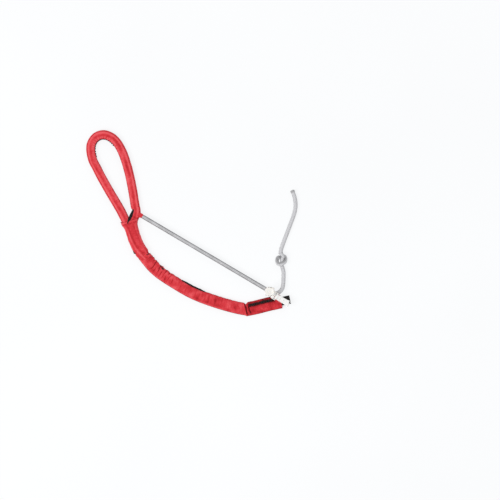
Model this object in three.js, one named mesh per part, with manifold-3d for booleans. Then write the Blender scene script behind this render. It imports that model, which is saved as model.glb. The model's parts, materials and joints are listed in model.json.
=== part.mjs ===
// A strap pull with a cord lock: a fabric-sleeved strap with a hand loop, a round cord made fast in the
// loop's throat, and a small sprung barrel lock on the cord, with its own sew-in tape.
// Millimetres, +Z up. It lies flat on z = 0, with the origin under the middle of the strap's outline.
import * as THREE from "three";
import { mergeVertices } from "three/addons/utils/BufferGeometryUtils.js";
import Module from "manifold-3d";

const wasm = await Module();
wasm.setup();

// ---- driving dimensions ----
const GAP = 0.3; // between pieces that touch on the real object

const LOOP = { width: 9.3, thick: 6.0, wall: 0.9 };
const THROAT = { width: 14.4, thick: 7.0, wall: 1.0 };
const STEM = { width: 12.5, thick: 5.6, wall: 0.9 };
const ROOT = { width: 14.2, thick: 4.0, wall: 0.8 };
const CUFF = { width: 16.6, thick: 7.8, wall: 1.0 };
const LOOP_CORE = { width: 5.2, thick: 1.6 };
const STRAP_CORE = { width: 8.0, thick: 1.4, z: 2.2 };

const LIFT = 0.05; // of a thread above the cloth that it is sewn through
const SEAM = { width: 13.8, thick: 6.4, wall: 0.7 };
const BARTACK = { length: 11.2, width: 1.8, height: 0.6, at: [-57.8, 1.75], turn: 0.33 };
const ZIGZAG = { count: 9, pitch: 2.8, height: 3.2, thread: 0.7, depth: 0.5, at: [61.4, -83.6], turn: 0.235 };

const CORD = { radius: 2.0, z: 4.8, sides: 8 };
const CORD_TAB = { length: 4.3, width: 3.8, height: 5.0, behind: 2.5, fold: 1.2 };
const LYING_Z = 2.0; // centre height of a cord that lies on the surface
const TIP = { radius: 1.9, taper: 0.8, length: 2.2, sides: 10, at: [104.2, 31.2], turn: 0.24 };
const KNOT = { width: 12.4, length: 11.6, height: 7.6, at: [92.3, -36.4] };

const CORD_START = [-45.1, 6.5];
const LOCK_AT = [81.5, -68.1];

const BARREL = { radius: 4.7, bore: 3.7, top: 11.8, shoulderLow: 9.4, shoulderHigh: 10.2 };
const WINDOW = { width: 4.8, height: 4.8 }; // the cord's way through the barrel
const FLARE_SIDE = 1.2; // the far window opens this much more, where the cord turns off
const TRAVEL = 1.4; // of the button
const YOKE = { radius: 3.4, slot: 4.4, low: 1.65, floor: 1.0, top: 9.1 };
const NECK = { radius: 1.7, top: 15.1 };
const CAP = { width: 9.2, depth: 8.2, corner: 2.4, low: 13.6, top: 16.2, bevel: 0.6, bore: 2.0 };
const CAP_RIB = { radius: 0.45, pitch: 1.5, count: 4, low: 13.9, high: 15.8 };
const SPRING = { radius: 2.72, wire: 0.22, turns: 3, low: BARREL.shoulderHigh + GAP, high: CAP.low - GAP };
const EAR = { inner: 6.0, arm: 0.9, side: -1.1, low: 7.65, high: 8.85, reach: 8.3, from: 3.8, opens: 6.6 };
const BAR = { radius: 0.6, z: 8.25, inset: 0.2 };
const TAPE = { width: 5.4, thick: 0.4, inner: 0.95, z: 7.55, touch: 10.4, end: 22.2 };
const TAPE_STITCH = { from: 14.4, to: 16.0, width: 4.0, thick: 0.35 };

const RED = 0xc23a42;
const RED_DARK = 0x9c2730;
const BLACK = 0x17171a;
const GREY = 0xa9a9ac;
const CREAM = 0xece6da;
const WHITE = 0xf4f3ef;
const STEEL = 0xb9bcc0;

// ---- routes, in plan ----
const LOOP_ROUTE = [
  [-64.9, 7.8], [-68.8, 15.3], [-78.3, 31.3], [-87.3, 47.3], [-91.3, 55.3], [-95.3, 63.3],
  [-97.3, 73.3], [-96.0, 80.8], [-91.3, 86.5], [-84.5, 88.5], [-77.8, 86.5], [-72.1, 81.8],
  [-67.8, 75.3], [-63.8, 66.3], [-59.3, 51.3], [-55.7, 34.3], [-53.1, 18.3], [-51.7, 11.8],
];
const CUFF_ROUTE = [[-58.3, 3.2], [-57.3, 0.3]];
const THROAT_ROUTE = [[-56.9, -1.0], [-55.8, -6.0], [-53.3, -14.8], [-50.1, -22.8], [-47.7, -26.9]];
const SEAM_ROUTE = [[-46.8, -28.3], [-46.3, -29.0]];
const STEM_ROUTE = [
  [-45.2, -30.4], [-40.3, -36.8], [-34.3, -43.8], [-25.3, -51.5], [-13.3, -59.3], [1.8, -68.1],
  [16.8, -74.6], [33.8, -80.3], [47.8, -84.1], [56.4, -85.9],
];
const ROOT_ROUTE = [[58.9, -85.8], [67.8, -84.0], [79.8, -81.0], [92.8, -78.1]];
const STRAP_CORE_ROUTE = [
  [-56.3, -4.0], ...THROAT_ROUTE.slice(2, 4), ...STEM_ROUTE.slice(1, 9), [57.6, -85.9],
  ...ROOT_ROUTE.slice(1), [101.8, -76.2],
];
const CORD_STRAIGHT_ROUTE = [[...CORD_START, CORD.z], [18.7, -31.1, CORD.z], [76, -64.9, CORD.z]];
const CORD_BEND_ROUTE = [
  [83.4, -69.2, 4.8], [85.8, -69.9, 4.75], [88.9, -69.7, 4.65], [91.7, -68.1, 4.5], [92.6, -67.25, 4.45],
];
const TAIL_ROUTE = [
  [93.2, -66.4, 4.4], [94.3, -64.1, 4.1], [94.9, -60.6, 3.5], [95.2, -54.6, 2.5], [95.2, -48.8, 2.1],
  [94.0, -44.2, 2.4],
];
const TAIL_END_ROUTE = [
  [92.2, -29.4, 2.2], [93.8, -23.0, 2.0], [98.4, -10.8, 2.0], [104.4, 5.6, 2.0], [107.3, 17.8, 2.0],
  [104.6, 29.8, 2.0],
];

const cordDirection = new THREE.Vector2(
  LOCK_AT[0] - CORD_START[0],
  LOCK_AT[1] - CORD_START[1],
).normalize();
const cordAngle = cordDirection.angle();

// ---- helpers ----
const root = new THREE.Group();

function add(name, geometry, colour, roughness, parent = root, metalness = 0) {
  const material = new THREE.MeshStandardMaterial({ color: colour, roughness, metalness });
  const mesh = new THREE.Mesh(geometry, material);
  mesh.name = name;
  parent.add(mesh);
  return mesh;
}

function solid(geometry) {
  const plain = geometry.index ? geometry.toNonIndexed() : geometry.clone();
  plain.deleteAttribute("normal");
  plain.deleteAttribute("uv");
  const merged = mergeVertices(plain, 1e-4);
  const mesh = new wasm.Mesh({
    numProp: 3,
    vertProperties: merged.attributes.position.array,
    triVerts: new Uint32Array(merged.index.array),
  });
  return new wasm.Manifold(mesh);
}

function geometryOf(manifold) {
  const mesh = manifold.getMesh();
  const geometry = new THREE.BufferGeometry();
  geometry.setAttribute("position", new THREE.BufferAttribute(mesh.vertProperties, 3));
  geometry.setIndex(new THREE.BufferAttribute(mesh.triVerts, 1));
  return geometry;
}

function cut(geometry, ...tools) {
  return geometryOf(tools.reduce((left, tool) => left.subtract(solid(tool)), solid(geometry)));
}

function join(geometry, ...others) {
  return geometryOf(others.reduce((all, other) => all.add(solid(other)), solid(geometry)));
}

// A flattened tube's outline: x is its thickness and y its width, as an extrude path's frames turn them.
function stadium(width, thick, Outline = THREE.Shape) {
  const end = thick / 2;
  const reach = width / 2 - end;
  const outline = new Outline();
  outline.absarc(0, reach, end, 0, Math.PI, false);
  outline.absarc(0, -reach, end, Math.PI, 2 * Math.PI, false);
  outline.closePath();
  return outline;
}

function sleeveSection({ width, thick, wall }) {
  const section = stadium(width, thick);
  section.holes.push(stadium(width - 2 * wall, thick - 2 * wall, THREE.Path));
  return section;
}

function webbingSection({ width, thick }) {
  return new THREE.Shape([
    new THREE.Vector2(thick / 2, -width / 2),
    new THREE.Vector2(thick / 2, width / 2),
    new THREE.Vector2(-thick / 2, width / 2),
    new THREE.Vector2(-thick / 2, -width / 2),
  ]);
}

function roundSection(radius, sides) {
  const corners = Array.from({ length: sides }, (_, i) => {
    const angle = ((i + 0.5) * 2 * Math.PI) / sides;
    return new THREE.Vector2(radius * Math.cos(angle), radius * Math.sin(angle));
  });
  return new THREE.Shape(corners);
}

function sweep(section, route, steps, z) {
  const points = route.map(([x, y, own]) => new THREE.Vector3(x, y, own ?? z));
  const extrudePath =
    points.length > 2
      ? new THREE.CatmullRomCurve3(points, false, "centripetal")
      : new THREE.LineCurve3(...points);
  return new THREE.ExtrudeGeometry(section, { steps, extrudePath, curveSegments: 3 });
}

function cylinder(radius, low, high, sides = 24) {
  return new THREE.CylinderGeometry(radius, radius, high - low, sides)
    .rotateX(Math.PI / 2)
    .translate(0, 0, (low + high) / 2);
}

function block(x0, x1, y0, y1, z0, z1) {
  return new THREE.BoxGeometry(x1 - x0, y1 - y0, z1 - z0).translate(
    (x0 + x1) / 2,
    (y0 + y1) / 2,
    (z0 + z1) / 2,
  );
}

// ---- the strap: red sleeves over black webbing ----
function makeStrap() {
  add("loop_sleeve", sweep(sleeveSection(LOOP), LOOP_ROUTE, 44, LOOP.thick / 2), RED, 0.85);
  add("loop_core", sweep(webbingSection(LOOP_CORE), LOOP_ROUTE, 44, LOOP.thick / 2), BLACK, 0.9);
  add("throat_cuff", sweep(sleeveSection(CUFF), CUFF_ROUTE, 1, CUFF.thick / 2), RED_DARK, 0.85);
  add("throat_sleeve", sweep(sleeveSection(THROAT), THROAT_ROUTE, 10, THROAT.thick / 2), RED, 0.85);
  add("stem_sleeve", sweep(sleeveSection(STEM), STEM_ROUTE, 34, STEM.thick / 2), RED, 0.85);
  add("root_sleeve", sweep(sleeveSection(ROOT), ROOT_ROUTE, 8, ROOT.thick / 2), RED, 0.85);
  add("strap_core", sweep(webbingSection(STRAP_CORE), STRAP_CORE_ROUTE, 60, STRAP_CORE.z), BLACK, 0.9);
}

// ---- the stitching: black thread ----
function makeStitching() {
  add("seam_thread", sweep(sleeveSection(SEAM), SEAM_ROUTE, 1, SEAM.thick / 2), BLACK, 0.9);

  const long = BARTACK.length / 2;
  const wide = BARTACK.width / 2;
  const bartack = add("throat_bartack", block(-long, long, -wide, wide, 0, BARTACK.height), BLACK, 0.9);
  bartack.position.set(...BARTACK.at, CUFF.thick + LIFT);
  bartack.rotation.z = BARTACK.turn;

  const zigzag = add("root_zigzag", makeZigzag(), BLACK, 0.9);
  zigzag.position.set(...ZIGZAG.at, ROOT.thick + LIFT);
  zigzag.rotation.z = ZIGZAG.turn;
}

function makeZigzag() {
  const peaks = Array.from({ length: ZIGZAG.count + 1 }, (_, i) => [
    i * ZIGZAG.pitch,
    i % 2 ? ZIGZAG.height : 0,
  ]);
  const outline = new THREE.Shape();
  outline.moveTo(...peaks[0]);
  peaks.slice(1).forEach(([x, y]) => outline.lineTo(x, y));
  [...peaks].reverse().forEach(([x, y]) => outline.lineTo(x, y + ZIGZAG.thread));
  outline.closePath();
  return new THREE.ExtrudeGeometry(outline, { depth: ZIGZAG.depth, bevelEnabled: false });
}

// A strip folded back over itself: its profile along the cord has one rounded end, at the fold.
function makeCordTab() {
  const half = CORD_TAB.height / 2;
  const end = CORD_TAB.length / 2;
  const bend = CORD_TAB.fold;
  const profile = new THREE.Shape();
  profile.moveTo(-end, -half);
  profile.lineTo(end - bend, -half);
  profile.absarc(end - bend, bend - half, bend, -Math.PI / 2, 0, false);
  profile.absarc(end - bend, half - bend, bend, 0, Math.PI / 2, false);
  profile.lineTo(-end, half);
  profile.closePath();
  return new THREE.ExtrudeGeometry(profile, { depth: CORD_TAB.width, bevelEnabled: false, curveSegments: 4 })
    .rotateX(Math.PI / 2)
    .translate(0, CORD_TAB.width / 2, 0);
}

// ---- the cord ----
function makeCord() {
  const section = roundSection(CORD.radius, CORD.sides);
  const tab = add("cord_tab", makeCordTab(), RED_DARK, 0.85);
  const tabAt = new THREE.Vector2(...CORD_START).addScaledVector(cordDirection, -CORD_TAB.behind);
  tab.position.set(tabAt.x, tabAt.y, CORD.z);
  tab.rotation.z = cordAngle;
  const run = [...CORD_STRAIGHT_ROUTE, ...CORD_BEND_ROUTE];
  add("cord_run", sweep(section, run, 40, CORD.z), GREY, 0.8);
  add("cord_tail", sweep(section, TAIL_ROUTE, 9, LYING_Z), GREY, 0.8);
  add("cord_end", sweep(section, TAIL_END_ROUTE, 16, LYING_Z), GREY, 0.8);

  const knot = new THREE.SphereGeometry(0.5, 18, 10).scale(KNOT.width, KNOT.length, KNOT.height);
  add("stopper_knot", knot, GREY, 0.8).position.set(...KNOT.at, KNOT.height / 2);

  const cone = new THREE.CylinderGeometry(TIP.radius * TIP.taper, TIP.radius, TIP.length, TIP.sides);
  const tip = add("cord_tip", cone, GREY, 0.7);
  tip.position.set(...TIP.at, LYING_Z);
  tip.rotation.z = TIP.turn;
}

// ---- the lock, in its own group: x along the cord, towards the tape ----
function makeBarrel() {
  const tube = cylinder(BARREL.radius, 0, BARREL.top, 32);
  const well = cylinder(BARREL.bore, -1, BARREL.shoulderLow, 24);
  const counterbore = cylinder(BARREL.bore, BARREL.shoulderHigh, BARREL.top + 1, 24);
  const neckHole = cylinder(NECK.radius + GAP, 0, BARREL.top, 20);
  const high = CORD.z + WINDOW.height / 2;
  const low = CORD.z - WINDOW.height / 2;
  const clear = BARREL.radius + 1;
  const way = block(-clear, clear, -WINDOW.width / 2, WINDOW.width / 2, low, high);
  const flare = block(0, clear, 0, WINDOW.width / 2 + FLARE_SIDE, low, high);
  return join(cut(tube, well, counterbore, neckHole, way, flare), makeEar());
}

// Two arms on the barrel's side with the tape's bar across their ends.
function makeEar() {
  const inner = EAR.inner / 2;
  const outer = inner + EAR.arm;
  const plate = block(EAR.from, EAR.reach + BAR.radius, -outer, outer, EAR.low, EAR.high);
  const space = block(EAR.opens, EAR.reach + 2, -inner, inner, EAR.low - 1, EAR.high + 1);
  plate.translate(0, EAR.side, 0);
  space.translate(0, EAR.side, 0);
  const barLength = 2 * (outer - BAR.inset);
  const bar = new THREE.CylinderGeometry(BAR.radius, BAR.radius, barLength, 12);
  bar.translate(EAR.reach, EAR.side, BAR.z);
  return join(cut(plate, space), bar);
}

function makeYoke() {
  const body = cylinder(YOKE.radius, YOKE.low, YOKE.top, 24);
  const across = YOKE.radius + 1;
  const high = CORD.z + YOKE.slot / 2 + TRAVEL;
  const slot = block(-across, across, -YOKE.slot / 2, YOKE.slot / 2, YOKE.low + YOKE.floor, high);
  const neck = cylinder(NECK.radius, YOKE.top - 0.2, NECK.top, 16);
  return join(cut(body, slot), neck);
}

function makeCap() {
  const w = CAP.width / 2 - CAP.bevel;
  const d = CAP.depth / 2 - CAP.bevel;
  const r = CAP.corner - CAP.bevel;
  const outline = new THREE.Shape();
  outline.absarc(w - r, d - r, r, 0, Math.PI / 2, false);
  outline.absarc(r - w, d - r, r, Math.PI / 2, Math.PI, false);
  outline.absarc(r - w, r - d, r, Math.PI, 1.5 * Math.PI, false);
  outline.absarc(w - r, r - d, r, 1.5 * Math.PI, 2 * Math.PI, false);
  const crown = new THREE.ExtrudeGeometry(outline, {
    depth: CAP.top - CAP.low - 2 * CAP.bevel,
    bevelThickness: CAP.bevel,
    bevelSize: CAP.bevel,
    bevelSegments: 2,
    curveSegments: 4,
  }).translate(0, 0, CAP.low + CAP.bevel);
  const socket = cylinder(CAP.bore, CAP.low - 1, NECK.top + GAP, 16);
  const ribs = [];
  for (const side of [-1, 1]) {
    for (let i = 0; i < CAP_RIB.count; i++) {
      const x = (i - (CAP_RIB.count - 1) / 2) * CAP_RIB.pitch;
      const rib = cylinder(CAP_RIB.radius, CAP_RIB.low, CAP_RIB.high, 10);
      ribs.push(rib.translate(x, (side * CAP.depth) / 2, 0));
    }
  }
  return cut(join(crown, ...ribs), socket);
}

class Helix extends THREE.Curve {
  getPoint(t, target = new THREE.Vector3()) {
    const angle = 2 * Math.PI * SPRING.turns * t;
    const low = SPRING.low + SPRING.wire;
    const high = SPRING.high - SPRING.wire;
    target.set(SPRING.radius * Math.cos(angle), SPRING.radius * Math.sin(angle), low + t * (high - low));
    return target;
  }
}

function makeSpring() {
  const section = roundSection(SPRING.wire, 6);
  return new THREE.ExtrudeGeometry(section, { steps: 54, extrudePath: new Helix() });
}

// The tape's profile along the cord's line: a loop round the bar, and a strip that clears the cord below it.
function makeTape() {
  const outer = TAPE.inner + TAPE.thick;
  const layer = 2 * TAPE.thick;
  const profile = new THREE.Shape();
  profile.absarc(EAR.reach, BAR.z, outer, 0.3 * Math.PI, 1.4 * Math.PI, false);
  profile.lineTo(TAPE.touch, TAPE.z);
  profile.lineTo(TAPE.end, TAPE.z);
  profile.lineTo(TAPE.end, TAPE.z + layer);
  profile.lineTo(TAPE.touch + 0.4, TAPE.z + layer);
  profile.closePath();
  const eye = new THREE.Path();
  eye.absarc(EAR.reach, BAR.z, TAPE.inner, 0, 2 * Math.PI, false);
  profile.holes.push(eye);
  return new THREE.ExtrudeGeometry(profile, { depth: TAPE.width, bevelEnabled: false, curveSegments: 6 })
    .rotateX(Math.PI / 2)
    .translate(0, EAR.side + TAPE.width / 2, 0);
}

function makeLock() {
  const lock = new THREE.Group();
  lock.position.set(LOCK_AT[0], LOCK_AT[1], 0);
  lock.rotation.z = cordAngle;
  root.add(lock);
  add("lock_barrel", makeBarrel(), CREAM, 0.45, lock);
  add("lock_yoke", makeYoke(), CREAM, 0.45, lock);
  add("lock_spring", makeSpring(), STEEL, 0.3, lock, 1);
  add("anchor_tape", makeTape(), WHITE, 0.9, lock);
  const near = EAR.side - TAPE_STITCH.width / 2;
  const far = EAR.side + TAPE_STITCH.width / 2;
  const stitch = block(TAPE_STITCH.from, TAPE_STITCH.to, near, far, 0, TAPE_STITCH.thick);
  add("tape_stitch", stitch, WHITE, 0.9, lock).position.z = TAPE.z + 2 * TAPE.thick + LIFT;

  // The cap is keyed to the strap's own lines and not to the cord's.
  add("button_cap", makeCap(), CREAM, 0.45).position.set(LOCK_AT[0], LOCK_AT[1], 0);
}

makeStrap();
makeStitching();
makeCord();
makeLock();

export default root;
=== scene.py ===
"""The looks of a strap pull with a cord lock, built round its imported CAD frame.

Lengths in the lists below are millimetres and are turned to metres by the functions that read them.
"""

import json
import math
import random

import bmesh
import bpy
from mathutils import Matrix, Vector, noise


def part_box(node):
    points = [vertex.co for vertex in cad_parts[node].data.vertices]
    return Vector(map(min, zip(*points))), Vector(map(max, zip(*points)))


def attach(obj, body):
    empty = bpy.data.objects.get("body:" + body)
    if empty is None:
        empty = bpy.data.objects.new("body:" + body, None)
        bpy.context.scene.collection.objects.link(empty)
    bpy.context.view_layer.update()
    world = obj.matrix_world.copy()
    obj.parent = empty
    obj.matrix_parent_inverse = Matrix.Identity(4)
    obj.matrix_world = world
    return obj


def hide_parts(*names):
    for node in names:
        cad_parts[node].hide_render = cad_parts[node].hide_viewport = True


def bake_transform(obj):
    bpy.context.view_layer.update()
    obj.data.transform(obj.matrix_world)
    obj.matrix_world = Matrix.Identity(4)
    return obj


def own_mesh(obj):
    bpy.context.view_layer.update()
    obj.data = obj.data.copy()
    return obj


MM = 0.001
UP = Vector((0, 0, 1))

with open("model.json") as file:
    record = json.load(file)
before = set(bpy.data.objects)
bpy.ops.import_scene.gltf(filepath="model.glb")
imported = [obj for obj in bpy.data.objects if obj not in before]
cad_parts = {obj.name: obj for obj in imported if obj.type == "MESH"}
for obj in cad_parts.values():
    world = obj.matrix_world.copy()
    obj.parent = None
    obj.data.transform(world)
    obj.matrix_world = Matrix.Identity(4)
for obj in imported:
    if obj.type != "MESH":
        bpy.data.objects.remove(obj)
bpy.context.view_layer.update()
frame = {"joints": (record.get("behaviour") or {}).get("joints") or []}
joints = {joint["name"]: joint for joint in frame["joints"]}

# ---- routes in plan; a third number is a height ----
# In plan they lie within 1 mm of the CAD model's where both run, and some run on by up to 9 mm.
LOOP_ROUTE = [
    (-64.9, 7.8), (-68.8, 15.3), (-78.3, 31.3), (-87.3, 47.3), (-91.3, 55.3), (-95.3, 63.3),
    (-97.3, 73.3), (-96.0, 80.8), (-91.3, 86.5), (-84.5, 88.5), (-77.8, 86.5), (-72.1, 81.8),
    (-67.8, 75.3), (-63.8, 66.3), (-59.3, 51.3), (-55.7, 34.3), (-53.1, 18.3), (-51.9, 11.8),
]
THROAT_ROUTE = [
    (-58.9, 2.2), (-56.3, -6.0), (-53.6, -14.8), (-50.2, -22.8), (-46.8, -28.3), (-44.0, -32.2),
    (-40.9, -36.0),
]
STEM_ROUTE = [
    (-45.7, -29.8), (-40.3, -36.8), (-34.3, -43.8), (-25.3, -51.5), (-13.3, -59.3), (1.8, -68.1),
    (16.8, -74.6), (33.8, -80.3), (47.8, -84.1), (57.9, -86.1),
]
ROOT_ROUTE = [(57.9, -86.1), (67.8, -84.0), (79.8, -81.0), (92.8, -78.1)]
CORE_ROUTE = [
    (-56.3, -4.0), (-53.3, -14.8), (-50.1, -22.8), (-40.3, -36.8), (-34.3, -43.8), (-25.3, -51.5),
    (-13.3, -59.3), (1.8, -68.1), (16.8, -74.6), (33.8, -80.3), (47.8, -84.1), (57.6, -85.9),
    (67.8, -84.0), (79.8, -81.0), (92.8, -78.1), (101.8, -76.2),
]
SLIT_ROUTE = [
    (-54.0, 14.2, 4.0), (-55.3, 11.0, 4.3), (-56.9, 7.6, 4.6), (-58.5, 4.2, 4.9), (-59.6, 1.8, 5.2),
]
CORD_ROUTE = [
    (-47.4, 7.8, 4.8), (-45.1, 6.5, 4.8), (-13.2, -12.3, 4.8), (18.7, -31.1, 4.8), (49.7, -49.4, 4.8),
    (76.0, -64.9, 4.8), (83.4, -69.2, 4.8), (85.8, -69.9, 4.75), (88.9, -69.7, 4.65),
    (91.7, -68.1, 4.5), (93.2, -66.4, 4.4), (94.3, -64.1, 4.1), (94.9, -60.6, 3.5),
    (95.2, -54.6, 2.6), (95.2, -48.8, 2.3), (94.2, -44.6, 2.3), (92.9, -41.4, 2.3),
]
TAIL_END_ROUTE = [
    (92.3, -31.0, 2.4), (92.6, -27.4, 2.2), (93.8, -23.0, 2.15), (98.4, -10.8, 2.15), (103.6, 3.0, 2.15),
    (106.2, 10.6, 2.15), (107.3, 18.0, 2.15), (106.4, 25.4, 2.15), (104.2, 32.0, 2.15),
]
KNOT_ROUTE = [
    (0.7, -6.4, 2.3), (0.9, -4.0, 2.1), (0.9, -1.8, 3.6), (1.1, 0.6, 5.4), (2.4, 3.0, 3.8),
    (4.3, 3.0, 2.4), (5.0, 0.6, 2.6), (4.2, -2.2, 4.4), (1.4, -3.9, 5.7), (-2.2, -4.5, 5.0),
    (-4.4, -2.6, 3.2), (-4.6, 0.4, 2.2), (-3.0, 2.4, 2.2), (-0.2, 1.6, 2.2), (1.6, 1.6, 3.4),
    (2.2, 3.2, 5.2), (1.0, 4.6, 4.9), (0.1, 6.4, 2.8),
]
KNOT_AT = (92.8, -36.4)
KNOT_SQUEEZE = 0.88  # narrows the knot's route from side to side

CORD_WIDE = 4.1
KNOT_CORD_WIDE = 3.7
THROAT_HINGE = Vector(joints["loop_fold"]["pos_m"])
TAIL_HINGE = Vector(joints["tail_lift"]["pos_m"])
SLIDE = -Vector(joints["lock_slide"]["axis"]).normalized()

# The root's stitched window, from the crease along the strap and across it.
WINDOW_FROM = 3.2
WINDOW_LONG = 26.5
WINDOW_OFFSET = 3.3
WINDOW_TALL = 2.6
GAPE_FROM = 48.5
GAPE_LONG = 28.0

# The lock's places in its own axes, as in the CAD model.
CORD_HIGH = 4.8
BARREL_RADIUS = 4.7
BAR_REACH = 8.3
EAR_SIDE = -1.1


# ---- mesh helpers ----
CURVE_PARTS = 24  # of each stretch between two points of a route


def smooth_route(points, step=0.8):
    """Points in metres, evenly spaced along a Catmull-Rom curve through a list in millimetres."""
    knots = [Vector(p if len(p) == 3 else (*p, 0.0)) * MM for p in points]
    knots = [2 * knots[0] - knots[1], *knots, 2 * knots[-1] - knots[-2]]
    fine = []
    for i in range(1, len(knots) - 2):
        a, b, c, d = knots[i - 1 : i + 3]
        square = 2 * a - 5 * b + 4 * c - d
        cube = 3 * b - a - 3 * c + d
        for k in range(CURVE_PARTS):
            t = k / CURVE_PARTS
            fine.append(0.5 * (2 * b + (c - a) * t + square * t**2 + cube * t**3))
    fine.append(knots[-2])
    return even_points(fine, step * MM)


def lengths_along(points):
    """How far along the route each of its points is."""
    lengths = [0.0]
    for a, b in zip(points, points[1:]):
        lengths.append(lengths[-1] + (b - a).length)
    return lengths


def even_points(points, step):
    """The same line with its points at equal distances, about a step apart."""
    lengths = lengths_along(points)
    count = max(2, round(lengths[-1] / step))
    spaced = []
    at = 0
    for i in range(count + 1):
        wanted = lengths[-1] * i / count
        while at < len(points) - 2 and lengths[at + 1] < wanted:
            at += 1
        span = lengths[at + 1] - lengths[at] or 1.0
        spaced.append(points[at].lerp(points[at + 1], min(1.0, (wanted - lengths[at]) / span)))
    return spaced


def route_length(points):
    return lengths_along(points)[-1]


def tangents(points):
    last = len(points) - 1
    return [(points[min(i + 1, last)] - points[max(i - 1, 0)]).normalized() for i in range(len(points))]


def flat_frames(points):
    """Each point's (side, up): side lies in the plane of the surface, to the left of travel."""
    found = []
    for tangent in tangents(points):
        side = UP.cross(tangent).normalized()
        found.append((side, tangent.cross(side)))
    return found


def carried_frames(points):
    """Frames carried along without twist, for a line that climbs and turns back on itself."""
    ways = tangents(points)
    side = UP.cross(ways[0]).normalized()
    found = []
    for tangent in ways:
        side = (side - tangent * side.dot(tangent)).normalized()
        found.append((side, tangent.cross(side)))
    return found


def mesh_object(name, verts, faces, uvs=None, smooth=True, shades=None):
    """shades, from -1 to 1 at each vertex, darken or lighten the colour there; they are mostly painted shade
    and painted light.
    """
    mesh = bpy.data.meshes.new(name)
    mesh.from_pydata([tuple(v) for v in verts], [], faces)
    if shades is not None:
        mesh.attributes.new("shade", "FLOAT", "POINT").data.foreach_set("value", shades)
    if uvs is not None:
        layer = mesh.uv_layers.new(name="along")
        for loop in mesh.loops:
            layer.data[loop.index].uv = uvs[loop.vertex_index]
    mesh.polygons.foreach_set("use_smooth", [smooth] * len(mesh.polygons))
    mesh.update()
    piece = bpy.data.objects.new(name, mesh)
    bpy.context.scene.collection.objects.link(piece)
    return piece


def skin_rings(rings, closed=False, caps=True):
    """Quads between rings of equal size, with a fan on each end."""
    size = len(rings[0])
    verts = [v for ring in rings for v in ring]
    faces = []
    for i in range(len(rings) if closed else len(rings) - 1):
        low = i * size
        high = ((i + 1) % len(rings)) * size
        for k in range(size):
            n = (k + 1) % size
            faces.append((low + k, low + n, high + n, high + k))
    if caps and not closed:
        faces.append(tuple(reversed(range(size))))
        faces.append(tuple(range(len(verts) - size, len(verts))))
    return verts, faces


def on_circle(radius, turn):
    return radius * math.cos(turn), radius * math.sin(turn)


def round_ring(radii):
    """A round tube's ring, from a radius for each of its points."""

    def ring(i, s, turn):
        return on_circle(radii[i], turn)

    return ring


def tube(name, points, ring, frames=None, around=28, shade=None):
    """A tube whose ring(i, s, turn) gives a (side, up) offset at arc length s and angle turn."""
    frames = frames or flat_frames(points)
    rings = []
    uvs = []
    shades = []
    for i, (point, s) in enumerate(zip(points, lengths_along(points))):
        side, up = frames[i]
        row = []
        for k in range(around):
            turn = math.tau * k / around
            across, high = ring(i, s, turn)
            row.append(point + side * across + up * high)
            uvs.append((k / around, s / MM))
            shades.append(shade(s / MM, turn) if shade else 0.0)
        rings.append(row)
    verts, faces = skin_rings(rings)
    return mesh_object(name, verts, faces, uvs, shades=shades)


def joined(name, pieces):
    """One mesh from several, in order."""
    verts = []
    faces = []
    uvs = []
    shades = []
    for piece in pieces:
        start = len(verts)
        held = piece.data.attributes.get("shade")
        shades += [v.value for v in held.data] if held else [0.0] * len(piece.data.vertices)
        verts += [v.co.copy() for v in piece.data.vertices]
        faces += [tuple(start + v for v in face.vertices) for face in piece.data.polygons]
        of_vertex = [(0.0, 0.0)] * len(piece.data.vertices)
        if piece.data.uv_layers:
            for loop in piece.data.loops:
                of_vertex[loop.vertex_index] = tuple(piece.data.uv_layers[0].data[loop.index].uv)
        uvs += of_vertex
        bpy.data.objects.remove(piece)
    return mesh_object(name, verts, faces, uvs, shades=shades)


def grain(x, y, z=0.0):
    return noise.noise(Vector((x, y, z)))


def soft_step(a, b, x):
    """0 at a and 1 at b, with an eased climb; a may be above b."""
    t = min(1.0, max(0.0, (x - a) / (b - a)))
    return t * t * (3 - 2 * t)


# ---- materials ----
def new_material(name):
    material = bpy.data.materials.new(name)
    material.use_nodes = True
    tree = material.node_tree
    shader = tree.nodes["Principled BSDF"]
    return material, tree, shader


def fill(tree, made, inputs):
    """Links each named input to a socket, or sets it to a plain value."""
    for key, value in dict(inputs).items():
        if isinstance(value, bpy.types.NodeSocket):
            tree.links.new(value, made.inputs[key])
        else:
            made.inputs[key].default_value = value


def node(tree, kind, inputs=(), **settings):
    made = tree.nodes.new(kind)
    for key, value in settings.items():
        setattr(made, key, value)
    fill(tree, made, inputs)
    return made


def noise_of(tree, place, scale, detail=2.0, roughness=0.5):
    inputs = {"Vector": place, "Scale": scale, "Detail": detail, "Roughness": roughness}
    return node(tree, "ShaderNodeTexNoise", inputs).outputs["Fac"]


def between(tree, value, low, high):
    inputs = {"Value": value, "To Min": low, "To Max": high}
    return node(tree, "ShaderNodeMapRange", inputs).outputs["Result"]


def bump_of(tree, height, strength, distance):
    inputs = {"Height": height, "Strength": strength, "Distance": distance}
    return node(tree, "ShaderNodeBump", inputs).outputs["Normal"]


# The per-vertex shade attribute, which holds mostly painted shade and painted light.
def held_shade(tree):
    return node(tree, "ShaderNodeAttribute", attribute_name="shade").outputs["Fac"]


def colour_ramp(tree, factor, stops):
    ramp = node(tree, "ShaderNodeValToRGB", {"Fac": factor})
    elements = ramp.color_ramp.elements
    while len(elements) < len(stops):
        elements.new(0.5)
    for element, (position, colour) in zip(elements, stops):
        element.position = position
        element.color = (*colour, 1)
    return ramp.outputs["Color"]


def wave_of(tree, place, across, along):
    """A sine over the UV: so many turns round the piece, so many for each millimetre along it."""
    slope = node(tree, "ShaderNodeVectorMath", {0: place, 1: (across, along, 0.0)}, operation="DOT_PRODUCT")
    angle = node(tree, "ShaderNodeMath", {0: slope.outputs["Value"], 1: math.tau}, operation="MULTIPLY")
    return node(tree, "ShaderNodeMath", {0: angle.outputs[0]}, operation="SINE").outputs[0]


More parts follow.
